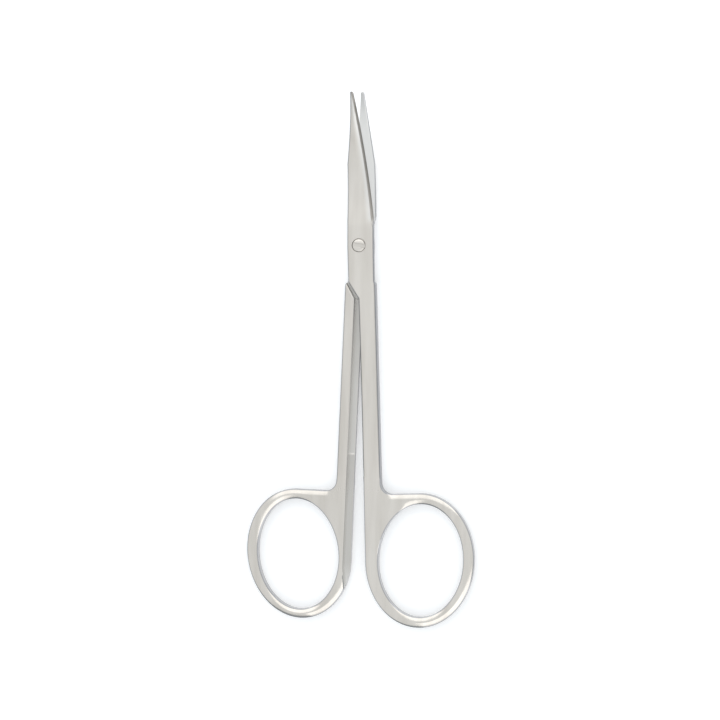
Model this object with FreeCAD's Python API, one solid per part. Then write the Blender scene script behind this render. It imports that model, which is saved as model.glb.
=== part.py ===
import FreeCAD, Part
import math
import os

# Small spring-free scissors with upturned tips, millimetres.
# Origin: pivot axis in the plane of the flat back. +Y to the tips, +Z to the screw head.
# Each half is drawn in its own bar frame: s outward to its own shank, v to the tips,
# h up from the lap plane on its own side. The lower half is then turned over about Y.

# Stock and lap joint
thickness = 3.2
lap_gap = 0.03
lap_half = 0.72
wall_clearance = 0.08
land_relief = 0.15
relief_end = -45.0
lap_fade = -69.3
lap_end = -74.2
lap_end_side = 0.06

# Joint plate outline
joint_half = 3.0
upper_waist_half = 2.76
upper_middle_half = 2.83
lower_waist_half = 2.52
lower_middle_half = 2.86
middle = -1.5
heel_half = 2.95
blade_start = 4.3
upper_back_half = 2.84
lower_back_half = 2.75
neck = -7.5
diagonal_end = -11.4
plate_round = 0.2

# Blades
upper_spine_root = 2.84
upper_spine_corner = 2.27
upper_blade_root = 2.7
lower_spine_root = 3.1
lower_spine_corner = 2.33
lower_blade_root = 2.3
spine_corner_at = 17.5
spine_power = 1.2
tip_half = 0.35
tip_reach = 32.3
edge_belly = 0.2
bend_start = 8.0
bend_radius = 42.0
bend_sweep = 50.0
tip_thickness = 0.68
bevel_width = 0.5
bevel_top = 0.62
bevel_overrun = 0.5
bevel_fade = 1.4
heel_bevel = 0.4
crown_place = 0.42
spine_wall = 0.55
spine_shoulder = 0.84
spine_round = 0.28
crown_ramp = 10.0
blade_stations = 12

# Shanks and rings
shank_half = 2.93
shank_end = -8.0
inner_bow = 0.12
edge_round = 0.8

# Finger rings: rim and hole are ovals, placed out from the bar line and down from the pivot
lower_rim_out = 10.52
lower_rim_down = 66.59
lower_rim_long = 27.84
lower_rim_wide = 22.3
lower_rim_lean = 12.3
lower_hole_out = 10.62
lower_hole_down = 66.67
lower_hole_long = 23.76
lower_hole_wide = 17.6
lower_hole_lean = 8.3
lower_crotch = 2.3
upper_rim_out = 10.85
upper_rim_down = 67.71
upper_rim_long = 28.64
upper_rim_wide = 23.43
upper_rim_lean = 3.7
upper_hole_out = 11.05
upper_hole_down = 67.74
upper_hole_long = 24.18
upper_hole_wide = 18.34
upper_hole_lean = 4.3
upper_crotch = 2.3

# Screw
screw_offset = 0.36
screw_radius = 1.0
running_clearance = 0.03
head_radius = 1.38
head_gap = 0.06
head_height = 0.9
dome_height = 0.2
slot_width = 0.8
slot_depth = 0.5
slot_turn = -8.0

# Pose: angle between the halves as they lie
opening = 4.16

lap_plane = thickness / 2
wall = lap_half + wall_clearance
far = 120.0
overreach = 2.0
tiny = 0.01
lower_outline = {
    "rim": (lower_rim_out, -lower_rim_down, lower_rim_long / 2, lower_rim_wide / 2, lower_rim_lean),
    "hole": (lower_hole_out, -lower_hole_down, lower_hole_long / 2, lower_hole_wide / 2, lower_hole_lean),
    "crotch": lower_crotch,
    "waist": lower_waist_half,
    "middle": lower_middle_half,
    "back": lower_back_half,
    "blade_root": lower_blade_root,
    "spine_root": lower_spine_root,
    "spine_corner": lower_spine_corner,
}
upper_outline = {
    "rim": (upper_rim_out, -upper_rim_down, upper_rim_long / 2, upper_rim_wide / 2, upper_rim_lean),
    "hole": (upper_hole_out, -upper_hole_down, upper_hole_long / 2, upper_hole_wide / 2, upper_hole_lean),
    "crotch": upper_crotch,
    "waist": upper_waist_half,
    "middle": upper_middle_half,
    "back": upper_back_half,
    "blade_root": upper_blade_root,
    "spine_root": upper_spine_root,
    "spine_corner": upper_spine_corner,
}


def point(s, v, h=0.0):
    return FreeCAD.Vector(s, v, h)


def prism(corners, bottom, top):
    loop = [point(s, v, bottom) for s, v in corners]
    face = Part.Face(Part.makePolygon(loop + loop[:1]))
    return face.extrude(point(0, 0, top - bottom))


def ellipse(s, v, major, minor, lean):
    along = point(math.sin(math.radians(lean)), math.cos(math.radians(lean)))
    across = point(-along.y, along.x)
    centre = point(s, v)
    return Part.Ellipse(centre + along * major, centre + across * minor, centre)


def touch_angle(rim, start):
    s, v, major, minor, lean = rim
    along = point(math.sin(math.radians(lean)), math.cos(math.radians(lean)))
    across = point(-along.y, along.x)
    offset = start - point(s, v)
    a = offset.dot(along) / major
    b = offset.dot(across) / minor
    return math.atan2(b, a) + math.acos(1 / math.hypot(a, b))


def top_angle(rim):
    lean = math.radians(rim[4])
    return math.atan2(rim[3] * math.sin(lean), rim[2] * math.cos(lean))


def shank_and_ring(outline):
    rim = ellipse(*outline["rim"])
    radius = outline["crotch"]
    inner_start = point(-lap_half, shank_end)
    first = touch_angle(outline["rim"], inner_start)
    last = top_angle(outline["rim"])
    crown = rim.value(last)
    outer_start = point(shank_half, shank_end)
    bend_in = point(shank_half, crown.y + radius)
    bend_out = point(shank_half + radius, crown.y)
    slack = radius * (1 - math.sqrt(0.5))
    bend_mid = point(shank_half + slack, crown.y + slack)
    inner_middle = (rim.value(first) + inner_start) / 2 + point(inner_bow, 0)
    edges = [
        Part.makeLine(outer_start, bend_in),
        Part.Arc(bend_in, bend_mid, bend_out).toShape(),
        Part.makeLine(bend_out, crown),
        Part.ArcOfEllipse(rim, first, last + 2 * math.pi).toShape(),
        Part.Arc(rim.value(first), inner_middle, inner_start).toShape(),
        Part.makeLine(inner_start, outer_start),
    ]
    outside = Part.Face(Part.Wire(Part.__sortEdges__(edges)))
    hole = Part.Face(Part.Wire([ellipse(*outline["hole"]).toShape()]))
    flat = outside.cut(hole)
    flat.translate(point(0, 0, -lap_plane))
    solid = flat.extrude(point(0, 0, thickness)).Solids[0]
    rounded = []
    for edge in solid.Edges:
        box = edge.BoundBox
        at_end = box.YMin > shank_end - tiny
        if box.ZLength < tiny and not at_end:
            rounded.append(edge)
    return solid.makeFillet(edge_round, rounded)


def diagonal(at_s):
    slope = (diagonal_end - neck) / (joint_half - lap_half)
    return diagonal_end + slope * (at_s + lap_half)


def joint_plate(outline):
    back = outline["back"]
    corners = [
        (outline["waist"], shank_end),
        (outline["middle"], middle),
        (heel_half, blade_start),
        (-outline["blade_root"], blade_start),
        (-back, 0.0),
        (-back, diagonal(-back)),
        (0.0, diagonal(0.0)),
        (wall, diagonal(0.0)),
        (wall, shank_end),
    ]
    plate = prism(corners, -lap_plane, lap_plane)
    rounded = []
    for first in (0, 1, 3, 4, 5):
        (s_a, v_a), (s_b, v_b) = corners[first], corners[first + 1]
        half_way = point((s_a + s_b) / 2, (v_a + v_b) / 2, lap_plane)
        for edge in plate.Edges:
            if edge.CenterOfMass.distanceToPoint(half_way) < tiny:
                rounded.append(edge)
    return plate.makeFillet(plate_round, rounded)


def spine(v, outline):
    corner = outline["spine_corner"]
    if v <= blade_start:
        return outline["blade_root"]
    if v < spine_corner_at:
        return outline["spine_root"] + (corner - outline["spine_root"]) * v / spine_corner_at
    left = max(tip_reach - v, 0.0) / (tip_reach - spine_corner_at)
    return tip_half + (corner - tip_half) * left ** spine_power


def cutting_edge(v):
    left = (tip_reach - v) / (tip_reach - blade_start)
    return tip_half + (heel_half - tip_half) * left * (1 + edge_belly * left * (1 - left))


def bend(r):
    beyond = max(r - bend_start, 0.0)
    return bend_radius - math.sqrt(bend_radius ** 2 - beyond ** 2)


def blade_thickness(v):
    along = (v - blade_start) / (tip_reach - blade_start)
    return tip_thickness + (lap_plane - tip_thickness) * (1 - along) ** 2


def blade_section(v, way, pivot_s, outline):
    left = -spine(v, outline)
    right = cutting_edge(v)
    ramp = min((v - blade_start) / crown_ramp, 1.0)
    depth = blade_thickness(v)
    bevel = bevel_width * (heel_bevel + (1 - heel_bevel) * ramp) * min(1.0, (right - left) / bevel_fade)
    side = spine_round * (1 + ramp) / 2

    def surface(s):
        return way * bend(math.hypot(s - pivot_s, v))

    crown_s = left + crown_place * (right - left)
    shoulder_s = left + side
    under = -lap_plane - overreach
    floor = surface(0.0) + under
    top_left = surface(left) + depth * (1 - (1 - spine_wall) * ramp) - side * (1 - ramp)
    shoulder = surface(shoulder_s) + depth * (1 - (1 - spine_shoulder) * ramp)
    crown = surface(crown_s) + depth
    bevel_s = right - bevel
    bevel_h = surface(bevel_s) + depth * (1 - (1 - bevel_top) * ramp)
    cut_h = surface(right) + lap_gap / 2
    past_s = right + bevel_overrun * bevel
    past_h = cut_h - bevel_overrun * (bevel_h - cut_h)
    low_left = point(left, v, floor)
    a = point(left, v, top_left)
    b = point(shoulder_s, v, shoulder)
    c = point(crown_s, v, crown)
    d = point(bevel_s, v, bevel_h)
    e = point(past_s, v, past_h)
    low_right = point(past_s, v, floor)
    back = Part.BSplineCurve()
    back.interpolate([b, c, d])
    return Part.Wire([
        Part.makeLine(low_left, a),
        Part.makeLine(a, b),
        back.toShape(),
        Part.makeLine(d, e),
        Part.makeLine(e, low_right),
        Part.makeLine(low_right, low_left),
    ])


def mating_body(way):
    height = lap_gap / 2
    turn = math.radians(bend_sweep)
    centre = point(bend_start, 0, height + way * bend_radius)
    flat_end = point(bend_start, 0, height)
    half_way = centre + point(math.sin(turn / 2), 0, -way * math.cos(turn / 2)) * bend_radius
    end = centre + point(math.sin(turn), 0, -way * math.cos(turn)) * bend_radius
    loop = [
        Part.makeLine(point(0, 0, height), flat_end),
        Part.Arc(flat_end, half_way, end).toShape(),
        Part.makeLine(end, point(end.x, 0, -far)),
        Part.makeLine(point(end.x, 0, -far), point(0, 0, -far)),
        Part.makeLine(point(0, 0, -far), point(0, 0, height)),
    ]
    return Part.Face(Part.Wire(loop)).revolve(point(0, 0), point(0, 0, 1), 360)


def blade(way, pivot_s, outline):
    step = (tip_reach - blade_start) / (blade_stations - 1)
    sections = []
    for i in range(blade_stations):
        sections.append(blade_section(blade_start + step * i, way, pivot_s, outline))
    raw = Part.makeLoft(sections, True, False)
    below = mating_body(way)
    below.translate(point(pivot_s, 0))
    shaped = raw.cut(below)
    tip_box = prism([(-far, 0), (far, 0), (far, tip_reach - tip_half), (-far, tip_reach - tip_half)], -far, far)
    tip_end = Part.makeCylinder(tip_half, 2 * far, point(0, tip_reach - tip_half, -far))
    return shaped.common(tip_box.fuse(tip_end))


def half(outline, way, pivot_s):
    body = shank_and_ring(outline).fuse(joint_plate(outline))
    mirrored = (wall + joint_half - lap_half + overreach, diagonal(-joint_half - overreach))
    lap = [
        (lap_end_side, -far),
        (lap_end_side, lap_end),
        (wall, lap_fade),
        (wall, diagonal_end),
        mirrored,
        (mirrored[0], blade_start + overreach),
        (-far, blade_start + overreach),
        (-far, -far),
    ]
    body = body.cut(prism(lap, -far, lap_gap / 2))
    hollow = [
        (wall, relief_end),
        (wall, diagonal_end),
        (-lap_half - overreach, diagonal_end),
        (-lap_half - overreach, relief_end),
    ]
    body = body.cut(prism(hollow, -far, lap_gap / 2 + land_relief))
    body = body.fuse(blade(way, pivot_s, outline)).removeSplitter()
    body.translate(point(-pivot_s, 0))
    return body.Solids[0]


def stand(shape, turned_over, angle):
    if turned_over:
        shape.rotate(point(0, 0), point(0, 1, 0), 180)
    shape.translate(point(0, 0, lap_plane))
    shape.rotate(point(0, 0), point(0, 0, 1), angle)
    return shape


def rod(radius, bottom, top):
    return Part.makeCylinder(radius, top - bottom, point(0, 0, bottom))


head_floor = thickness - head_height
upper = stand(half(upper_outline, 1, -screw_offset), False, opening / 2)
upper = upper.cut(rod(screw_radius + running_clearance, 0, thickness))
upper = upper.cut(rod(head_radius + head_gap, head_floor, thickness + overreach))

lower = stand(half(lower_outline, -1, screw_offset), True, -opening / 2)
lower = lower.cut(rod(screw_radius, -overreach, thickness))

dome_radius = (head_radius ** 2 + dome_height ** 2) / (2 * dome_height)
dome_centre = point(0, 0, thickness + dome_height - dome_radius)
head = rod(head_radius, head_floor + running_clearance, thickness + dome_height)
head = head.common(Part.makeSphere(dome_radius, dome_centre))
slot_base = thickness + dome_height - slot_depth
slot = prism(
    [(-far, -slot_width / 2), (far, -slot_width / 2), (far, slot_width / 2), (-far, slot_width / 2)],
    slot_base,
    thickness + overreach,
)
slot.rotate(point(0, 0), point(0, 0, 1), slot_turn)
stem = rod(screw_radius, 0, head_floor + 2 * running_clearance)
screw = stem.fuse(head).removeSplitter().cut(slot)

os.makedirs("parts", exist_ok=True)
nodes = {"upper_half": upper, "lower_half": lower, "pivot_screw": screw}
for name, shape in nodes.items():
    solid = shape.Solids[0]
    solid.exportStep("parts/" + name + ".step")
    box = solid.BoundBox
    print(name, shape.isValid(), len(shape.Solids), round(solid.Volume, 2), box)
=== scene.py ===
import math

import bpy
import numpy as np
from mathutils import Matrix, Vector
from mathutils.geometry import delaunay_2d_cdt


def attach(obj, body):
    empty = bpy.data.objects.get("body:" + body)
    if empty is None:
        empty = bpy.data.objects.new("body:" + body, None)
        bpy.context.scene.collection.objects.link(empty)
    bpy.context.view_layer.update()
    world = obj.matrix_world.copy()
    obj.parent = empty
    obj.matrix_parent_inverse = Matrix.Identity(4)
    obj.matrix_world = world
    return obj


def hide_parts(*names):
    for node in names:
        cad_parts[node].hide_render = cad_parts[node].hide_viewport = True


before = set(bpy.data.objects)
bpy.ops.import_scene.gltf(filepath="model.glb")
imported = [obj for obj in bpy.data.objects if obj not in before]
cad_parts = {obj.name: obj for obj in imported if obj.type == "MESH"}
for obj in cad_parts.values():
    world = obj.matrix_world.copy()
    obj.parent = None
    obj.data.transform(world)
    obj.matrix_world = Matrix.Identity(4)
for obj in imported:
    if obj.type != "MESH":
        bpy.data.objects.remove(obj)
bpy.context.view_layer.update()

print("frame loaded:", sorted(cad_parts))

# Lengths in millimetres. Each half is worked out in its own bar frame: s runs outward to its own
# shank, v toward the tips, h away from the lap plane on its own side.
metres = 0.001  # one millimetre, for the finished meshes

# the lap: plates of half thickness, the strip beside each shank, the wall between strip and shank
lap = dict(halfThickness=1.6, gap=0.03, half=0.72, wall=0.80, neck=-7.5, diagonalEnd=-11.4, jointHalf=3.0,
           fade=-69.3, end=-74.2, endSide=0.06, opening=4.16, screwOffset=0.36,
           relief=0.15, reliefEnd=-45.0, reliefRun=0.6, reliefStart=0.12,
           stepWide=0.05, wallLip=0.13, lipWide=0.24, leastStep=0.02)
plate = dict(middle=-1.5, heelHalf=2.95, bladeStart=4.3, backStart=0.3)
blade = dict(cornerAt=17.5, spineRun=2.2, spinePower=1.2, tipHalf=0.35, tipReach=32.3, edgeBelly=0.2,
             bendStart=8.0, bendReach=30.0, bendRadius=42.0, tipThickness=0.68, ramp=10.0,
             crown=0.14, crownPlace=0.42, bevel=0.5, bevelTop=0.62, bevelFrom=4.0, bevelRun=1.6,
             bevelDrop=0.97, heelReach=0.9, tipStop=31.9, spineRound=0.34, spineWall=0.28,
             fullWidth=2.2, leastWidth=0.4, backBreak=0.2, breakWide=0.24, breakFrom=5.0, breakRun=2.0)
shank = dict(half=2.93, end=-8.0, waistAbove=0.3, fullBelow=0.6, innerBow=0.12, middleLine=0.5, margin=0.2,
             ringStart=-45.0, ringFull=-53.0)
# the rings slope only on their slender bar, and along the top as far as the crotch
ring = dict(top=-50.0, slim=2.3, slimRun=2.2, leastSlope=0.15, leastHoleSlope=0.1, slopePower=1.2,
            shoulderFrom=0.6, shoulderRun=1.2, shoulderDown=2.0)
# edges: roof is a slope of that width and drop up to a soft crest, round the tight rounding below it;
# the drops are parts of the own thickness
edges = {
    "plate": dict(roofWide=0.4, roofDrop=0.0, roundWide=0.30, roundDrop=0.145),
    "shank": dict(roofWide=1.3, roofDrop=0.04, roundWide=0.36, roundDrop=0.165),
    "inner": dict(roofWide=0.8, roofDrop=0.03, roundWide=0.30, roundDrop=0.14),
    "ring": dict(roofWide=1.2, roofDrop=0.25, roundWide=0.26, roundDrop=0.03),
}
rounding = dict(slope=0.85, power=1.08, curve=0.15, deepest=0.98)
# rim and hole are ovals: centre out, centre along, long half axis, short half axis, lean in degrees
halves = {
    "upperHalf": dict(way=1, waist=2.76, middle=2.83, back=2.84, bladeRoot=2.7, spineRoot=2.84,
                      spineCorner=2.27, crotch=2.3,
                      rim=(10.85, -67.71, 14.31, 11.705, 3.7), hole=(11.05, -67.74, 12.09, 9.17, 4.3)),
    "lowerHalf": dict(way=-1, waist=2.52, middle=2.86, back=2.75, bladeRoot=2.3, spineRoot=3.1,
                      spineCorner=2.33, crotch=2.3,
                      rim=(10.52, -66.59, 13.91, 11.14, 12.3), hole=(10.62, -66.67, 11.88, 8.8, 8.3)),
}
# where each finish and painted mark lies: painted dark reflection on the bevel, painted highlight stripe
# behind it, dull strip, painted cool dark reflection along every edge
finishes = dict(bevelPart=0.9, bevelSoft=0.12, rubbedWide=0.9, heelRun=1.5, dullFrom=-3.5, dullRun=6.0,
                dullPlaces=(-74, -68, -45.1, -44.6, -30, -14), dullAmounts=(0, 0.8, 0.8, 0.5, 0.5, 1.0),
                groundPast=0.06, wallRim=0.45, wallNear=0.004, faceRim=0.7, rimReach=0.27, rimSoft=0.2,
                insideRim=0.5, insideFrom=6.0, hollowPast=-0.01)
# how fine the mesh is: counts of points, spacings, and where rows of points follow edges and steps
net = dict(edge=90, tip=12, rim=500, hole=240, crotch=14, bow=40, bore=64, sink=96, outline=0.3, wallTip=0.03,
           tightParts=(0.04, 0.13, 0.27, 0.45, 0.68, 1.0), roofParts=(0.3, 0.62, 0.88, 0.98),
           tightShare=0.9, crowded=0.93, apart=0.012, sharp=34,
           pastWall=(-0.04, 0.0, 0.05, 0.08, 0.12, 0.18, 0.25), wallRow=0.4, wallReach=6.0, foot=-84.0,
           reliefSteps=(0.0, 0.2, 0.4, 0.6), reliefRow=0.2, reliefSide=-0.8, reliefShort=0.06,
           crownParts=(0.16, 0.28, 0.42, 0.56, 0.7, 0.84), crownFrom=-6.0, crownTo=32.2, crownRow=0.4,
           crownPlate=2.9, crownRoom=0.3, sinkSteps=(-0.01, 0.0, 0.03, 0.06, 0.14), sinkRoom=0.25,
           fill=0.6, fillSides=(-3.0, 24.0), fillEnds=(-84.0, -6.0), fillRoom=1.35, wallMiddle=0.1,
           wallRoom=0.35)


def easeStep(x):
    # smooth rise from 0 to 1: 3x squared minus 2x cubed
    x = np.clip(x, 0.0, 1.0)
    return x * x * (3 - 2 * x)


def evenly(points, spacing):
    # the same path with its points spread evenly by length
    along = np.concatenate([[0], np.cumsum(np.linalg.norm(np.diff(points, axis=0), axis=1))])
    count = max(int(math.ceil(along[-1] / spacing)), 1)
    at = np.linspace(0, along[-1], count + 1)
    return np.stack([np.interp(at, along, points[:, 0]), np.interp(at, along, points[:, 1])], axis=1)


def oval(size, angle):
    # ellipse: centre plus long half axis times cosine, short half axis times sine, leaned outward
    out, down, longHalf, shortHalf, lean = size
    tilt = math.radians(lean)
    along = longHalf * np.cos(angle)
    across = shortHalf * np.sin(angle)
    return np.stack([out + along * math.sin(tilt) - across * math.cos(tilt),
                     down + along * math.cos(tilt) + across * math.sin(tilt)], axis=1)


def circle(s, v, radius, count):
    # points evenly round a centre
    turn = np.arange(count) * 2 * np.pi / count
    return np.stack([s + radius * np.cos(turn), v + radius * np.sin(turn)], axis=1)


def spineAt(v, half):
    # back: a straight taper to the corner, then a power of the way left to the tip
    corner = half["spineCorner"]
    root = half["spineRoot"] + (corner - half["spineRoot"]) * v / blade["cornerAt"]
    left = np.clip((blade["tipReach"] - v) / (blade["tipReach"] - blade["cornerAt"]), 0, 1)
    taper = blade["tipHalf"] + (corner - blade["tipHalf"]) * left ** blade["spinePower"]
    start = np.clip((v - plate["bladeStart"]) / blade["spineRun"], 0, 1)
    plateSide = np.interp(v, [0, plate["bladeStart"]], [half["back"], half["bladeRoot"]])
    return np.where(v < blade["cornerAt"], plateSide + (root - plateSide) * start, taper)


def edgeAt(v):
    # cutting edge: a straight taper from the heel to the tip with a slightly fuller middle
    left = np.clip((blade["tipReach"] - v) / (blade["tipReach"] - plate["bladeStart"]), 0, 1)
    full = left * (1 + blade["edgeBelly"] * left * (1 - left))
    return blade["tipHalf"] + (plate["heelHalf"] - blade["tipHalf"]) * full


def diagonalAt(s):
    # shoulder of the plate below the joint: a straight line from the strip up to the back
    slope = (lap["diagonalEnd"] - lap["neck"]) / (lap["jointHalf"] - lap["half"])
    return lap["diagonalEnd"] + slope * (s + lap["half"])


def bendAt(r):
    # mating surface: flat, then a circular arc turned about the pivot axis
    beyond = np.clip(r - blade["bendStart"], 0, blade["bendReach"])
    return blade["bendRadius"] - np.sqrt(blade["bendRadius"] ** 2 - beyond ** 2)


def roundOff(x):
    # 1 at the edge, 0 one round's width in: mostly a straight slope, with a part of a quarter ellipse
    x = 1 - np.clip(x, 0, 1)
    quarter = 1 - np.sqrt(np.maximum(1 - x ** 2, 0))
    return rounding["slope"] * x ** rounding["power"] + rounding["curve"] * quarter


# direction of the shoulder wall: up and outward, along the other half's diagonal
wallRise = np.array([lap["jointHalf"] - lap["half"], lap["neck"] - lap["diagonalEnd"]])
wallRise = wallRise / np.linalg.norm(wallRise)


def wallSide(p):
    # distance past the step between the lowered lap and the full shank, positive in the shank
    below = (p[:, 0] - lap["wall"]) * wallRise[1] - (p[:, 1] - lap["diagonalEnd"]) * wallRise[0]
    line = np.interp(p[:, 1], [lap["end"], lap["fade"]], [lap["endSide"], lap["wall"]])
    return np.minimum(p[:, 0] - line, below)


def tipTurn(first, last):
    # part of a circle round the tip, from the first angle to the last
    turn = np.linspace(first, last, net["tip"])
    tipHalf = blade["tipHalf"]
    return np.stack([tipHalf * np.cos(turn), blade["tipReach"] - tipHalf + tipHalf * np.sin(turn)], axis=1)


def ringFrom(half):
    # the rim's oval from its top, round the outside, to where a line from the joint just touches it
    rim = half["rim"]
    lean = math.radians(rim[4])
    topAngle = math.atan2(rim[3] * math.sin(lean), rim[2] * math.cos(lean))
    start = np.array([-lap["half"], shank["end"]]) - np.array(rim[:2])
    a = (start[0] * math.sin(lean) + start[1] * math.cos(lean)) / rim[2]
    b = (-start[0] * math.cos(lean) + start[1] * math.sin(lean)) / rim[3]
    touch = math.atan2(b, a) + math.acos(1 / math.hypot(a, b))
    return oval(rim, np.linspace(topAngle, touch - 2 * math.pi, net["rim"]))


def outlineOf(half):
    # closed outline from the tip down the cutting edge, round the ring and up the spine
    tipEnd = blade["tipReach"] - blade["tipHalf"]
    v = np.linspace(tipEnd, plate["bladeStart"], net["edge"])
    edge = np.stack([edgeAt(v), v], axis=1)
    ringPath = ringFrom(half)
    r = half["crotch"]
    swing = np.linspace(np.pi, np.pi * 1.5, net["crotch"])
    crotch = np.stack([shank["half"] + r + r * np.cos(swing), ringPath[0][1] + r + r * np.sin(swing)], axis=1)
    # close points where the wall of the shank starts, so that its step stays crisp at the edge
    wallStart = evenly(np.array([[half["waist"], shank["end"] + shank["waistAbove"]],
                                 [shank["half"], shank["end"] - shank["fullBelow"]]]), net["wallTip"])
    heel = [[plate["heelHalf"], plate["bladeStart"]], [half["middle"], plate["middle"]]]
    side = np.concatenate([heel, wallStart])
    # inner edge of the shank: a shallow bow between the ring and the joint
    t = np.linspace(0, 1, net["bow"])
    bow = ringPath[-1] + (np.array([-lap["half"], shank["end"]]) - ringPath[-1]) * t[:, None]
    bow[:, 0] += shank["innerBow"] * (1 - (2 * t - 1) ** 2)
    bow = bow[bow[:, 1] < lap["diagonalEnd"] - shank["margin"]]
    back = half["back"]
    joint = np.array([[-lap["half"], lap["diagonalEnd"]], [-back, diagonalAt(-back)], [-back, 0.0]])
    v = np.linspace(plate["backStart"], tipEnd, net["edge"])
    spine = np.stack([-spineAt(v, half), v], axis=1)
    corners = np.concatenate([tipTurn(np.pi / 2, 0), edge, side, crotch, ringPath, bow, joint, spine,
                              tipTurn(np.pi, np.pi / 2)])
    keep = np.concatenate([[True], np.linalg.norm(np.diff(corners, axis=0), axis=1) > 1e-4])
    corners = corners[keep]
    runs = [evenly(corners[i:i + 2], net["outline"])[:-1] for i in range(len(corners) - 1)]
    return np.concatenate(runs)


def nearest(points, loop):
    # distance from each point to a closed loop of straight runs, and the run it is nearest to
    a = loop
    ab = np.roll(loop, -1, axis=0) - a
    length = np.maximum((ab ** 2).sum(1), 1e-12)
    far = np.empty(len(points))
    which = np.empty(len(points), int)
    for first in range(0, len(points), 2000):  # blocks of points, to spare memory
        block = points[first:first + 2000]
        ap = block[:, None, :] - a[None]
        t = np.clip((ap * ab[None]).sum(2) / length[None], 0, 1)
        gap = np.linalg.norm(ap - t[..., None] * ab[None], axis=2)
        pick = gap.argmin(1)
        which[first:first + 2000] = pick
        far[first:first + 2000] = gap[np.arange(len(block)), pick]
    return far, which


def inside(points, loop):
    # even-odd rule: count the loop's runs crossed by a ray from each point
    x, y = points[:, :1], points[:, 1:]
    x1, y1 = loop[:, 0][None], loop[:, 1][None]
    x2, y2 = np.roll(loop[:, 0], -1)[None], np.roll(loop[:, 1], -1)[None]
    span = np.where(y2 == y1, 1e-12, y2 - y1)
    crossed = ((y1 > y) != (y2 > y)) & (x < (x2 - x1) * (y - y1) / span + x1)
    return crossed.sum(1) % 2 == 1


def inward(loop, sign):
    # unit direction square to the loop at each point, turned to one side by the sign
    ahead = np.roll(loop, -1, axis=0) - np.roll(loop, 1, axis=0)
    ahead /= np.linalg.norm(ahead, axis=1, keepdims=True)
    return sign * np.stack([ahead[:, 1], -ahead[:, 0]], axis=1)


def clockwise(loop):
    # the loop's signed area is below zero
    x, y = loop[:, 0], loop[:, 1]
    return (x * np.roll(y, -1) - np.roll(x, -1) * y).sum() < 0


def trimmed(row, good):
    # the row with its bad points taken out, and which neighbours are still joined
    index = np.flatnonzero(good)
    return row[index], np.diff(index) == 1


def clipped(path, outline, hole, room=0.05):
    # the path's points that lie in the plan with some room to its edges
    good = inside(path, outline) & ~inside(path, hole)
    good &= np.minimum(nearest(path, outline)[0], nearest(path, hole)[0]) > room
    return trimmed(path, good)


def closedRow(loop):
    # a loop as a row of points whose ends are joined
    return np.concatenate([loop, loop[:1]]), np.ones(len(loop), bool)


def closedMesh(faces):
    # every edge of a face runs the other way in a neighbour
    edgePairs = np.concatenate([faces[:, [0, 1]], faces[:, [1, 2]], faces[:, [2, 0]]])
    size = faces.max() + 1
    there = edgePairs[:, 0] * size + edgePairs[:, 1]
    back = edgePairs[:, 1] * size + edgePairs[:, 0]
    return bool(np.isin(there, back).all())


# the ground finish, partly painted highlight, with the painted highlight stripe; bevel and rim: painted dark
# reflections; hollow: the dull strip
finishLabels = ("ground", "hollow", "bevel", "rim")


def sheetMesh(name, loops, rows, fill, outerHeight, innerHeight, place, finish=None):
    # a plan area cut into triangles, lifted to an outer and an inner height, closed by side walls
    points = list(loops) + [row for row, joined in rows]
    starts = np.cumsum([0] + [len(p) for p in points])
    links = []
    for k, loop in enumerate(loops):
        n = np.arange(len(loop)) + starts[k]
        links.append(np.stack([n, np.roll(n, -1)], axis=1))
    for k, (row, joined) in enumerate(rows):
        n = np.arange(len(row)) + starts[k + len(loops)]
        links.append(np.stack([n[:-1][joined], n[1:][joined]], axis=1))
    plan = np.concatenate(points + [fill])
    result = delaunay_2d_cdt(plan.tolist(), np.concatenate(links).tolist(), [], 0, 1e-5)
    flat = np.array([tuple(p) for p in result[0]])
    tris = np.array(result[2])
    a, b, c = flat[tris[:, 0]], flat[tris[:, 1]], flat[tris[:, 2]]
    area = (b[:, 0] - a[:, 0]) * (c[:, 1] - a[:, 1]) - (c[:, 0] - a[:, 0]) * (b[:, 1] - a[:, 1])
    middle = (a + b + c) / 3
    kept = (np.abs(area) > 1e-9) & inside(middle, loops[0])
    for hole in loops[1:]:
        kept &= ~inside(middle, hole)
    tris = np.where(area[:, None] > 0, tris, tris[:, ::-1])[kept]
    used, tris = np.unique(tris, return_inverse=True)
    tris = tris.reshape(-1, 3)
    flat = flat[used]
    count = len(flat)
    # side walls: two triangles under each border edge, the one with no neighbour
    sides = np.concatenate([tris[:, [0, 1]], tris[:, [1, 2]], tris[:, [2, 0]]])
    codes = sides[:, 0] * count + sides[:, 1]
    border = sides[~np.isin(codes, sides[:, 1] * count + sides[:, 0])]
    walls = np.concatenate([np.stack([border[:, 1], border[:, 0], border[:, 0] + count], axis=1),
                            np.stack([border[:, 1], border[:, 0] + count, border[:, 1] + count], axis=1)])
    faces = np.concatenate([tris, tris[:, ::-1] + count, walls])
    top, bottom = outerHeight(flat), innerHeight(flat)
    verts = np.concatenate([np.column_stack([flat, top]), np.column_stack([flat, bottom])])
    mesh = bpy.data.meshes.new(name)
    mesh.from_pydata(place(verts).tolist(), [], faces.tolist())
    mesh.polygons.foreach_set("use_smooth", np.ones(len(faces), bool))
    mesh.set_sharp_from_angle(angle=math.radians(net["sharp"]))
    amounts = finish(flat) if finish else {}
    for label in finishLabels:
        amount = np.concatenate(amounts.get(label, (np.zeros(count), np.zeros(count))))
        data = mesh.attributes.new(label, "FLOAT", "POINT")
        data.data.foreach_set("value", amount.astype(np.float32))
    mesh.update()
    piece = bpy.data.objects.new(name, mesh)
    bpy.context.scene.collection.objects.link(piece)
    print(name, "faces:", len(faces), "open edges:", 0 if closedMesh(faces) else "some")
    return piece


def slender(gap):
    # 1 on the slender bar of the ring, 0 where the ring widens into the shank
    return 1 - easeStep((gap - ring["slim"]) / ring["slimRun"])


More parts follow.
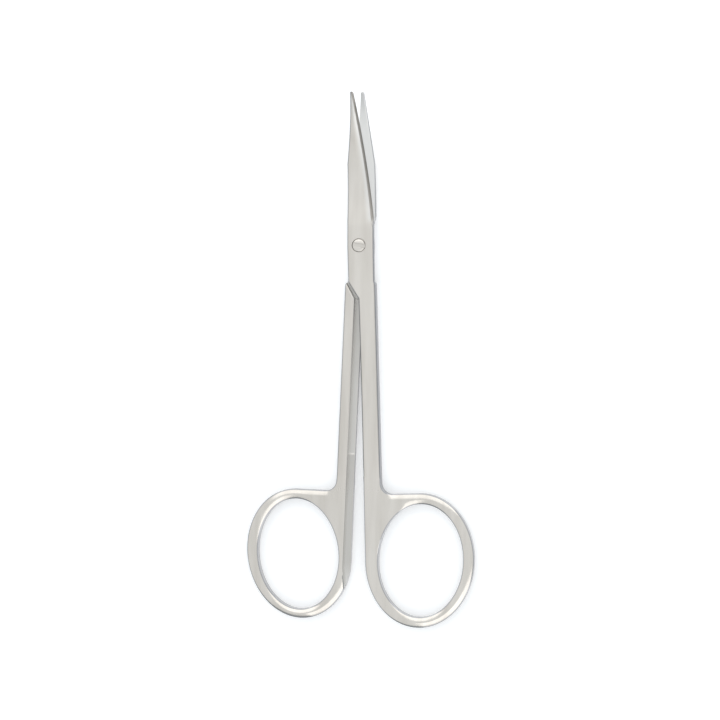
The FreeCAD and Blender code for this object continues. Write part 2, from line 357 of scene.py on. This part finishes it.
def blurred(a):
    # weighted mean of five neighbours round the loop: 1, 2, 3, 2, 1 ninths
    return np.convolve(np.concatenate([a[-2:], a, a[:2]]), np.array([1, 2, 3, 2, 1]) / 9, "valid")


def edgeValues(half, outline, hole):
    # edge treatment at each point of the outline and of the hole: roof and round, width and drop
    s, v = outline[:, 0], outline[:, 1]
    onBlade = v > plate["bladeStart"] - blade["heelReach"]
    cutting = onBlade & (s > 0) & (s > 0.5 * edgeAt(np.minimum(v, blade["tipStop"])))
    backEdge = onBlade & ~cutting
    low = easeStep((shank["ringStart"] - v) / (shank["ringStart"] - shank["ringFull"]))
    innerSide = (s < shank["middleLine"]) & (v < lap["diagonalEnd"] + shank["margin"])
    plain = (v < shank["end"] - shank["margin"]) & ~innerSide & (s > shank["middleLine"])
    ramp = easeStep((v - plate["bladeStart"]) / blade["ramp"])
    narrow = np.clip((edgeAt(v) + spineAt(v, half)) / blade["fullWidth"], blade["leastWidth"], 1)
    ringGap, _ = nearest(outline, hole)
    holeGap, _ = nearest(hole, outline)
    edge = {}
    for key in edges["plate"]:
        value = np.full(len(outline), edges["plate"][key])
        value = np.where(plain, edges["shank"][key], value)
        value = np.where(innerSide, edges["inner"][key], value)
        edge[key] = value + (edges["ring"][key] - value) * low
    # the slope runs on along the top of the ring until the crotch
    ringTop = half["rim"][1] + half["rim"][2] - ring["shoulderDown"]
    shoulder = easeStep((s - shank["half"] - ring["shoulderFrom"]) / ring["shoulderRun"]) * (v > ringTop)
    kept = np.maximum(np.maximum(slender(ringGap), ring["leastSlope"]), shoulder)
    edge["roofDrop"] = edge["roofDrop"] * np.where(v < ring["top"], kept, 1)
    for key, full in (("roundWide", blade["spineRound"]), ("roundDrop", blade["spineWall"])):
        grown = edges["plate"][key] + (full - edges["plate"][key]) * ramp
        edge[key] = np.where(backEdge, grown * (narrow if key == "roundWide" else 1), edge[key])
    fade = easeStep((v - blade["bevelFrom"]) / blade["bevelRun"])
    edge["roofWide"] = np.where(cutting, blade["bevel"] * narrow, edge["roofWide"])
    edge["roofDrop"] = np.where(cutting, blade["bevelDrop"] * fade, edge["roofDrop"])
    edge["roundDrop"] = np.where(cutting, edges["plate"]["roundDrop"] * (1 - fade), edge["roundDrop"])
    broken = blade["backBreak"] * narrow * easeStep((v - blade["breakFrom"]) / blade["breakRun"])
    edge["backBreak"] = np.where(backEdge, broken, 0.0)
    edge = {key: blurred(value) for key, value in edge.items()}
    edge["roofWide"] = np.where(v < ring["top"], np.minimum(edge["roofWide"], ringGap / 2), edge["roofWide"])
    rim = edges["ring"]
    holeEdge = dict(roofWide=np.minimum(rim["roofWide"], holeGap / 2),
                    roofDrop=rim["roofDrop"] * np.maximum(slender(holeGap), ring["leastHoleSlope"]),
                    roundWide=np.full(len(hole), rim["roundWide"]),
                    roundDrop=np.full(len(hole), rim["roundDrop"]), backBreak=np.zeros(len(hole)))
    return edge, holeEdge


def edgeRows(outline, hole, edge, holeEdge):
    # rows of points beside the outline and the hole, so that roofs and rounds come out crisp
    rows = []
    for loop, at, sign in ((outline, edge, 1 if clockwise(outline) else -1),
                           (hole, holeEdge, -1 if clockwise(hole) else 1)):
        facing = inward(loop, sign)
        tight = np.minimum(at["roundWide"], at["roofWide"] * net["tightShare"])
        offsets = [tight * part for part in net["tightParts"]]
        offsets += [tight + (at["roofWide"] - tight) * part for part in net["roofParts"]]
        last = np.zeros(len(loop))
        for offset in offsets:
            row = loop + facing * offset[:, None]
            gap = np.minimum(nearest(row, outline)[0], nearest(row, hole)[0])
            good = (gap > net["crowded"] * offset) & (offset > last + net["apart"])
            last = np.where(good, offset, last)
            rows.append(trimmed(np.concatenate([row, row[:1]]), np.concatenate([good, good[:1]])))
    return rows


def stepRows(outline, hole):
    # rows along the wall of the shank and across the ends of the sunk strip
    rows = []
    for past in net["pastWall"]:
        corner = np.array([lap["wall"] + past, lap["diagonalEnd"] - past * (1 - wallRise[0]) / wallRise[1]])
        path = np.array([[lap["endSide"] + past, net["foot"]], [lap["endSide"] + past, lap["end"]],
                         [lap["wall"] + past, lap["fade"]], corner, corner + wallRise * net["wallReach"]])
        rows.append(clipped(evenly(path, net["wallRow"]), outline, hole))
    levels = [lap["reliefEnd"] + step for step in net["reliefSteps"]]
    levels += [lap["diagonalEnd"] - lap["reliefStart"], lap["diagonalEnd"]]
    for level in levels:
        path = np.array([[net["reliefSide"], level], [lap["wall"] - net["reliefShort"], level]])
        rows.append(clipped(evenly(path, net["reliefRow"]), outline, hole))
    return rows


def crownRows(half, outline, hole, pivotS, boss):
    # rows along the plate and the blade at fixed parts of the width, kept clear of the screw
    rows = []
    v = np.arange(net["crownFrom"], net["crownTo"], net["crownRow"])
    left, right = -spineAt(v, half), np.where(v > plate["bladeStart"], edgeAt(v), net["crownPlate"])
    for part in net["crownParts"]:
        path = np.stack([left + part * (right - left), v], axis=1)
        path, _ = clipped(path, outline, hole, net["crownRoom"])
        rows.append(trimmed(path, np.hypot(path[:, 0] - pivotS, path[:, 1]) > boss + net["sinkRoom"]))
    return rows


def fillPoints(outline, hole):
    # an even grid for the wide parts of the shank and ring, away from the edges and the wall
    out, along = np.arange(*net["fillSides"], net["fill"]), np.arange(*net["fillEnds"], net["fill"])
    gridS, gridV = np.meshgrid(out, along)
    fill = np.column_stack([gridS.ravel(), gridV.ravel()])
    fill = fill[inside(fill, outline) & ~inside(fill, hole)]
    room = np.minimum(nearest(fill, outline)[0], nearest(fill, hole)[0])
    return fill[(room > net["fillRoom"]) & (np.abs(wallSide(fill) - net["wallMiddle"]) > net["wallRoom"])]


def makeHalf(name, half):
    # one half: outline, ring hole and bore in plan, lifted to its outer and inner heights
    way = half["way"]
    pivotS = -lap["screwOffset"] * way
    outline = outlineOf(half)
    hole = oval(half["hole"], np.linspace(0, 2 * np.pi, net["hole"], endpoint=False))
    boreRadius = screw["radius"] + (screw["running"] if way > 0 else 0)
    bore = circle(pivotS, 0, boreRadius, net["bore"])
    boss = screw["headRadius"] + screw["headGap"]
    edge, holeEdge = edgeValues(half, outline, hole)

    def lapHeight(p):
        # half the gap above the lap plane, and on the blade along its bend
        flat = way * bendAt(np.hypot(p[:, 0] - pivotS, p[:, 1])) * (p[:, 1] > 0)
        return flat + lap["gap"] / 2

    def crownHeight(p):
        # own thickness: thins with the square of the way to the tip, crowned across, lower at the bevel
        s, v = p[:, 0], p[:, 1]
        along = np.clip((v - plate["bladeStart"]) / (blade["tipReach"] - plate["bladeStart"]), 0, 1)
        depth = blade["tipThickness"] + (lap["halfThickness"] - blade["tipThickness"]) * (1 - along) ** 2
        ramp = easeStep((v - plate["bladeStart"]) / blade["ramp"])
        left, right = -spineAt(v, half), np.where(v > plate["bladeStart"], edgeAt(v), lap["jointHalf"])
        u = np.clip((s - left) / (right - left), 0, 1)
        c = blade["crownPlace"]
        toBack = blade["crown"] * ((c - u) / c) ** 2
        toEdge = (1 - blade["bevelTop"]) * ((u - c) / (1 - c)) ** 2
        return lapHeight(p) - lap["gap"] / 2 + depth * (1 - ramp * np.where(u < c, toBack, toEdge))

    def edgeDrop(p):
        # part of the own thickness taken off near an edge: a nearly straight roof slope plus the round
        dOut, k = nearest(p, outline)
        dIn, j = nearest(p, hole)
        bySide = dOut <= dIn
        d = np.where(bySide, dOut, dIn)
        at = {key: np.where(bySide, edge[key][k], holeEdge[key][j]) for key in edge}
        width = np.where(p[:, 1] < ring["top"], np.minimum(at["roofWide"], (dOut + dIn) / 2), at["roofWide"])
        power = np.where(p[:, 1] > 0, 1.0, ring["slopePower"])
        slope = at["roofDrop"] * (1 - np.clip(d / width, 0, 1)) ** power
        return np.minimum(slope + at["roundDrop"] * roundOff(d / at["roundWide"]), rounding["deepest"])

    def outerHeight(p):
        # crown less the edge drop; on the upper half also the round recess for the screw's head
        top = crownHeight(p)
        h = top - (top - lapHeight(p)) * edgeDrop(p)
        if way > 0:
            r = np.hypot(p[:, 0] - pivotS, p[:, 1])
            h = h - screw["sinkDrop"] * np.clip(1 - (r - boss) / screw["sinkWide"], 0, 1)
            h = np.where(r < boss, lap["halfThickness"] - screw["headHeight"], h)
        return h

    def innerHeight(p):
        # lap plane with the sunk strip, and past the wall the full thickness of the shank
        v = p[:, 1]
        far, k = nearest(p, outline)
        floor = lapHeight(p) + edge["backBreak"][k] * roundOff(far / blade["breakWide"])
        sunk = easeStep((v - lap["reliefEnd"]) / lap["reliefRun"])
        floor = floor + lap["relief"] * (sunk * np.clip((lap["diagonalEnd"] - v) / lap["reliefStart"], 0, 1))
        full = -lap["halfThickness"] * (1 - edgeDrop(p))
        past = wallSide(p)
        lip = lap["wallLip"] * np.clip(1 - (past - lap["stepWide"]) / lap["lipWide"], 0, 1)
        step = np.clip(past / lap["stepWide"], 0, 1)
        return floor + (np.minimum(full + lip, floor - lap["leastStep"]) - floor) * step

    def place(q):
        # bar frame to the object's frame: turned over for the lower half, then half the opening
        x, y, z = q[:, 0] - pivotS, q[:, 1], q[:, 2]
        x, z = x * way, z * way + lap["halfThickness"]
        turn = math.radians(lap["opening"] / 2) * way
        return np.column_stack([x * math.cos(turn) - y * math.sin(turn),
                                x * math.sin(turn) + y * math.cos(turn), z]) * metres

    def finish(p):
        # outer face: painted dark reflection on the bevel, with a painted highlight stripe behind it
        v = p[:, 1]
        behind = edgeAt(np.maximum(v, plate["bladeStart"])) - p[:, 0] - blade["bevel"] * finishes["bevelPart"]
        onward = easeStep((v - plate["bladeStart"]) / finishes["heelRun"])
        bevel = onward * np.clip(0.5 - behind / finishes["bevelSoft"], 0, 1)
        paintedSheen = onward * np.clip(1 - behind / finishes["rubbedWide"], 0, 1) * (1 - bevel)
        # inner face: ground finish, lighter partly as painted highlight, on the lap, the wall and the blade,
        # left dull in the sunk strip
        past = wallSide(p)
        dull = easeStep((finishes["dullFrom"] - v) / finishes["dullRun"])
        dull = dull * np.interp(v, finishes["dullPlaces"], finishes["dullAmounts"])
        hollow = np.where(past < finishes["hollowPast"], dull, 0.0)
        ground = np.where(past < finishes["groundPast"], 1 - hollow, 0.0)
        # side walls and the first of each edge rounding: painted dark reflection, duller and cooler than the
        # brushed faces
        gap = np.minimum(nearest(p, outline)[0], nearest(p, hole)[0])
        wall = np.where(gap < finishes["wallNear"], finishes["wallRim"], 0.0)
        nearEdge = np.clip((finishes["rimReach"] - gap) / finishes["rimSoft"], 0, 1)
        rim = np.maximum(wall, finishes["faceRim"] * nearEdge * (1 - bevel))
        insideBlade = np.where(v > finishes["insideFrom"], finishes["insideRim"] * rim, wall)
        rimShadeInside = np.where(past > lap["stepWide"], rim, insideBlade)
        none = np.zeros(len(p))
        return {"ground": (paintedSheen, ground), "hollow": (none, hollow), "bevel": (bevel, none),
                "rim": (rim, rimShadeInside)}

    rows = edgeRows(outline, hole, edge, holeEdge) + stepRows(outline, hole)
    rows += crownRows(half, outline, hole, pivotS, boss)
    if way > 0:
        rows += [closedRow(circle(pivotS, 0, boss + step, net["sink"])) for step in net["sinkSteps"]]
    fill = fillPoints(outline, hole)
    return sheetMesh(name, [outline, hole, bore], rows, fill, outerHeight, innerHeight, place, finish)


# screw: shallow domed head with a straight slot, and a recess for it in the upper half
screw = dict(radius=1.0, running=0.03, headRadius=1.38, headGap=0.06, headHeight=0.9, dome=0.2,
             slotWidth=0.8, slotDepth=0.5, slotTurn=-8.0,
             edgeDrop=0.07, edgeWide=0.1, lipDrop=0.04, lipWide=0.06,
             endBreak=0.06, endFlat=0.92, endWide=0.08, sinkDrop=0.05, sinkWide=0.06, points=144,
             rings=(0.3, 0.6, 0.92, 0.96, 0.998, 1.002, 1.2, 1.36),
             slotSteps=(-0.006, 0.0, 0.015, 0.035, 0.06),
             slotPoints=60, slotShort=0.004, slotWithin=0.005, stemWithin=0.001)


def makeScrew():
    # head: shallow dome with a straight slot; stem: plain cylinder that ends flush with the back
    radius = screw["headRadius"]
    thick = lap["halfThickness"] * 2
    turn = math.radians(screw["slotTurn"])
    half = screw["slotWidth"] / 2

    def across(p):
        # distance from the middle line of the slot
        return np.abs(-p[:, 0] * math.sin(turn) + p[:, 1] * math.cos(turn))

    def outerHeight(p):
        # dome falls with the square of the radius; edge and slot are eased, the slot's floor is flat
        r = np.hypot(p[:, 0], p[:, 1])
        dome = thick + screw["dome"] * (1 - (r / radius) ** 2)
        dome = dome - screw["edgeDrop"] * roundOff((radius - r) / screw["edgeWide"])
        lip = screw["lipDrop"] * roundOff((across(p) - half) / screw["lipWide"])
        base = thick + screw["dome"] - screw["slotDepth"]
        return np.where(across(p) < half - screw["slotWithin"], base, dome - lip)

    def innerHeight(p):
        # the stem down to the back, and round it the underside of the head
        r = np.hypot(p[:, 0], p[:, 1])
        under = thick - screw["headHeight"] + screw["running"]
        end = screw["endBreak"] * np.clip((r - screw["endFlat"]) / screw["endWide"], 0, 1)
        return np.where(r < screw["radius"] - screw["stemWithin"], end, under)

    rows = [closedRow(circle(0, 0, r, screw["points"])) for r in screw["rings"]]
    for side in (-1, 1):
        for step in screw["slotSteps"]:
            gap = half + step
            reach = math.sqrt(radius ** 2 - gap ** 2) - screw["slotShort"]
            x = np.linspace(-reach, reach, screw["slotPoints"])
            y = np.full(screw["slotPoints"], side * gap)
            line = np.stack([x * math.cos(turn) - y * math.sin(turn),
                             x * math.sin(turn) + y * math.cos(turn)], axis=1)
            rows.append((line, np.ones(screw["slotPoints"] - 1, bool)))
    centre = np.array([[0.0, 0.0]])
    rim = circle(0, 0, radius, screw["points"])
    return sheetMesh("pivotScrew", [rim], rows, centre, outerHeight, innerHeight, lambda q: q * metres)


pieces = {name: makeHalf(name, half) for name, half in halves.items()}
pieces["pivotScrew"] = makeScrew()
for name, body, node, slot in (("upperHalf", "upper", "upper_half", "steel"),
                               ("lowerHalf", "lower", "lower_half", "steel"),
                               ("pivotScrew", "lower", "pivot_screw", "screw")):
    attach(pieces[name], body)
    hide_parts(node)
print("steel pieces made")

# tones are linear; cloud and brush are noise scales per metre along x, y and z; the polish grows between
# two places along y, in metres
# the ground tone is ground steel, partly painted highlight; the bevel and rim tones are painted dark
# reflections
steel = dict(tone=(0.68, 0.64, 0.59), warmTone=(0.59, 0.55, 0.50), groundTone=(0.73, 0.715, 0.69),
             hollowTone=(0.51, 0.49, 0.46), bevelTone=(0.36, 0.335, 0.305), rimTone=(0.27, 0.285, 0.32),
             satin=0.30, polish=0.08, polishFrom=-0.050, polishTo=-0.056, brushRough=0.12,
             cloud=(420.0, 45.0, 420.0), cloudDetail=3.0, cloudFrom=0.3, cloudTo=0.7,
             brush=(7000.0, 500.0, 7000.0), brushDetail=4.0, grain=5200.0, bump=0.02, bumpDepth=0.0002)
screwSteel = {**steel, "satin": 0.26, "brush": (900.0, 7000.0, 7000.0)}


def satinSteel(name, look):
    # satin steel: fine grain and lengthwise brushing, polished toward the rings
    material = bpy.data.materials.new(name)
    material.use_nodes = True
    tree = material.node_tree
    shader = tree.nodes["Principled BSDF"]
    shader.inputs["Metallic"].default_value = 1.0
    link = tree.links.new

    def add(kind, **settings):
        # a new node of this kind, with its settings
        node = tree.nodes.new("ShaderNode" + kind)
        for key, value in settings.items():
            setattr(node, key, value)
        return node

    def give(node, **values):
        # input values by the socket's name, with its spaces left out
        for key, value in values.items():
            socket = next(s for s in node.inputs if s.name.replace(" ", "") == key and s.enabled)
            socket.default_value = value

    place = add("TexCoord")

    def noise(scale, detail):
        # stretched noise: the object's coordinates times a scale for each axis
        stretch, texture = add("Mapping"), add("TexNoise")
        give(stretch, Scale=scale)
        give(texture, Scale=1.0, Detail=detail)
        link(place.outputs["Object"], stretch.inputs["Vector"])
        link(stretch.outputs["Vector"], texture.inputs["Vector"])
        return texture

    cloud = noise(look["cloud"], look["cloudDetail"])
    brush = noise(look["brush"], look["brushDetail"])
    grain = add("TexNoise")
    give(grain, Scale=look["grain"])
    link(place.outputs["Object"], grain.inputs["Vector"])
    # colour: two close tones in faint clouds, then each finish and painted mark over them by its attribute
    spread = add("MapRange")
    give(spread, FromMin=look["cloudFrom"], FromMax=look["cloudTo"])
    link(cloud.outputs["Fac"], spread.inputs["Value"])
    last = add("Mix", data_type="RGBA")
    give(last, A=(*look["tone"], 1), B=(*look["warmTone"], 1))
    link(spread.outputs["Result"], last.inputs["Factor"])
    for label in finishLabels:
        amount = add("Attribute", attribute_name=label)
        mix = add("Mix", data_type="RGBA")
        give(mix, B=(*look[label + "Tone"], 1))
        link(amount.outputs["Fac"], mix.inputs["Factor"])
        link(last.outputs["Result"], mix.inputs["A"])
        last = mix
    link(last.outputs["Result"], shader.inputs["Base Color"])
    # roughness: satin on the shanks and blades, smoother from the top of the rings down, plus the brushing
    split, polish = add("SeparateXYZ"), add("MapRange")
    give(polish, FromMin=look["polishFrom"], FromMax=look["polishTo"],
         ToMin=look["satin"], ToMax=look["polish"])
    link(place.outputs["Object"], split.inputs["Vector"])
    link(split.outputs["Y"], polish.inputs["Value"])
    rough = add("Math", operation="MULTIPLY_ADD")
    rough.inputs[1].default_value = look["brushRough"]
    link(brush.outputs["Fac"], rough.inputs[0])
    link(polish.outputs["Result"], rough.inputs[2])
    link(rough.outputs["Value"], shader.inputs["Roughness"])
    # bump: brushing plus grain
    both, bump = add("Math", operation="ADD"), add("Bump")
    give(bump, Strength=look["bump"], Distance=look["bumpDepth"])
    link(brush.outputs["Fac"], both.inputs[0])
    link(grain.outputs["Fac"], both.inputs[1])
    link(both.outputs["Value"], bump.inputs["Height"])
    link(bump.outputs["Normal"], shader.inputs["Normal"])
    return material


steelMaterial = satinSteel("satinSteel", steel)
screwMaterial = satinSteel("screwSteel", screwSteel)
for name, piece in pieces.items():
    piece.data.materials.append(screwMaterial if name == "pivotScrew" else steelMaterial)
print("finishes made")

stage = dict(floorSize=1.6, floorDown=0.00002, floorTone=0.86, lift=0.30, world=0.5,
             worldTone=(0.86, 0.94, 1.0))


def paleFloor():
    # a plain white floor: it takes the shadow, and a little glow for camera, glossy and clear rays
    n = stage["floorSize"]
    mesh = bpy.data.meshes.new("floor")
    mesh.from_pydata([(-n, -n, 0), (n, -n, 0), (n, n, 0), (-n, n, 0)], [], [(0, 1, 2, 3)])
    floor = bpy.data.objects.new("floor", mesh)
    bpy.context.scene.collection.objects.link(floor)
    floor.location.z = -stage["floorDown"]
    material = bpy.data.materials.new("paleFloor")
    material.use_nodes = True
    tree = material.node_tree
    tree.nodes.clear()
    add = tree.nodes.new
    link = tree.links.new
    matte = add("ShaderNodeBsdfDiffuse")
    matte.inputs["Color"].default_value = (stage["floorTone"],) * 3 + (1,)
    path = add("ShaderNodeLightPath")
    seen = path.outputs["Is Camera Ray"]
    for ray in ("Is Glossy Ray", "Is Transmission Ray"):
        total = add("ShaderNodeMath")
        total.operation = "ADD"
        total.use_clamp = True
        link(seen, total.inputs[0])
        link(path.outputs[ray], total.inputs[1])
        seen = total.outputs["Value"]
    scale = add("ShaderNodeMath")
    scale.operation = "MULTIPLY"
    scale.inputs[1].default_value = stage["lift"]
    link(seen, scale.inputs[0])
    glow = add("ShaderNodeEmission")
    link(scale.outputs["Value"], glow.inputs["Strength"])
    both = add("ShaderNodeAddShader")
    link(matte.outputs["BSDF"], both.inputs[0])
    link(glow.outputs["Emission"], both.inputs[1])
    out = add("ShaderNodeOutputMaterial")
    link(both.outputs["Shader"], out.inputs["Surface"])
    mesh.materials.append(material)


# soft boxes: direction from the joint, distance and size in metres, brightness of their face
lamps = {
    "topBox": dict(direction=(-0.2, 0.0, 1.0), distance=0.7, size=(1.9, 3.6), radiance=0.535),
    "frontBox": dict(direction=(0.0, 1.0, 0.85), distance=0.45, size=(0.7, 0.44), radiance=0.7),
    "sideBox": dict(direction=(0.7, -1.3, 1.1), distance=0.45, size=(0.44, 0.3), radiance=0.7),
}


def studio():
    # an even pale world and the soft boxes, each with power for its brightness times pi times its area
    world = bpy.data.worlds.new("studio")
    world.use_nodes = True
    background = world.node_tree.nodes["Background"]
    background.inputs["Color"].default_value = (*stage["worldTone"], 1)
    background.inputs["Strength"].default_value = stage["world"]
    bpy.context.scene.world = world
    for name, lamp in lamps.items():
        data = bpy.data.lights.new(name, "AREA")
        data.shape = "RECTANGLE"
        data.size, data.size_y = lamp["size"]
        data.energy = lamp["radiance"] * math.pi * data.size * data.size_y
        box = bpy.data.objects.new(name, data)
        bpy.context.scene.collection.objects.link(box)
        toward = Vector(lamp["direction"]).normalized()
        box.location = toward * lamp["distance"]
        box.rotation_euler = toward.to_track_quat("Z", "Y").to_euler()


# tilt and roll in degrees, lengths in metres; pivotPixel is where the screw's middle falls in the frame
view = dict(tilt=9.0, roll=0.49, distance=0.6, frameWidth=0.15408, framePixels=720, sensor=36,
            pivotPixel=(358.6, 245.3), headTop=0.0032)


def photoCamera():
    # straight down on the joint, tipped a little to the +X side and rolled to the photo's line
    tilt, roll = math.radians(view["tilt"]), math.radians(view["roll"])
    back = Vector((math.sin(tilt), 0, math.cos(tilt)))
    level = Vector((math.cos(tilt), 0, -math.sin(tilt)))
    north = Vector((0, 1, 0))
    right = level * math.cos(roll) + north * math.sin(roll)
    up = north * math.cos(roll) - level * math.sin(roll)
    pixel = view["frameWidth"] / view["framePixels"]
    middle = view["framePixels"] / 2
    aim = Vector((0, 0, view["headTop"]))
    aim -= right * (view["pivotPixel"][0] - middle) * pixel
    aim += up * (view["pivotPixel"][1] - middle) * pixel
    data = bpy.data.cameras.new("photoCamera")
    data.sensor_width = view["sensor"]
    data.lens = view["sensor"] * view["distance"] / view["frameWidth"]
    camera = bpy.data.objects.new("photoCamera", data)
    bpy.context.scene.collection.objects.link(camera)
    turn = Matrix((right, up, back)).transposed().to_4x4()
    camera.matrix_world = Matrix.Translation(aim + back * view["distance"]) @ turn
    bpy.context.scene.camera = camera


paleFloor()
studio()
photoCamera()
bpy.context.scene.view_settings.view_transform = "Standard"
print("stage, lamps and camera set")
